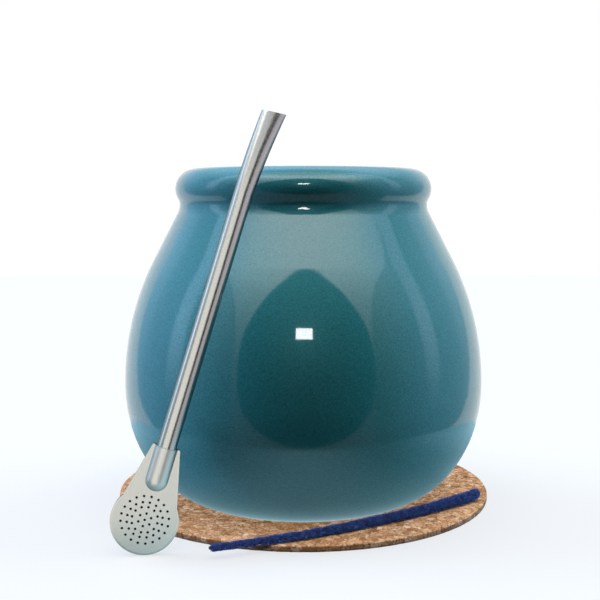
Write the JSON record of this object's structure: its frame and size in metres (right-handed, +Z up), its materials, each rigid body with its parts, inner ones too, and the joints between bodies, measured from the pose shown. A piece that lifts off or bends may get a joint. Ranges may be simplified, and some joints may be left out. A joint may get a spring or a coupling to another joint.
{
  "type": "ceramic mate cup with steel straw, cork coaster and cleaning brush",
  "caption": "Round glazed mate cup with a rolled lip on a thin cork coaster, a steel straw with a perforated spoon strainer leaning on it and a fibre cleaning brush lying in front.",
  "frame": {"origin": "on the cup's axis, at the underside of the coaster", "axes": "+Z up along the cup's axis, the front with the straw and the brush towards -Y, +X to the right"},
  "size_m": [0.102, 0.1071, 0.1021],
  "materials": {
    "glaze": "glossy teal glaze with a fine grain",
    "cork": "pressed cork granules",
    "steel_tube": "satin polished stainless steel",
    "steel_plate": "fine matt pressed stainless steel",
    "chenille": "short dense blue fibres"
  },
  "bodies": {
    "root": {"cup": "glaze", "coaster": "cork", "straw_tube": "steel_tube", "strainer_front": "steel_plate", "strainer_back": "steel_plate", "cleaning_brush": "chenille"}
  },
  "joints": []
}
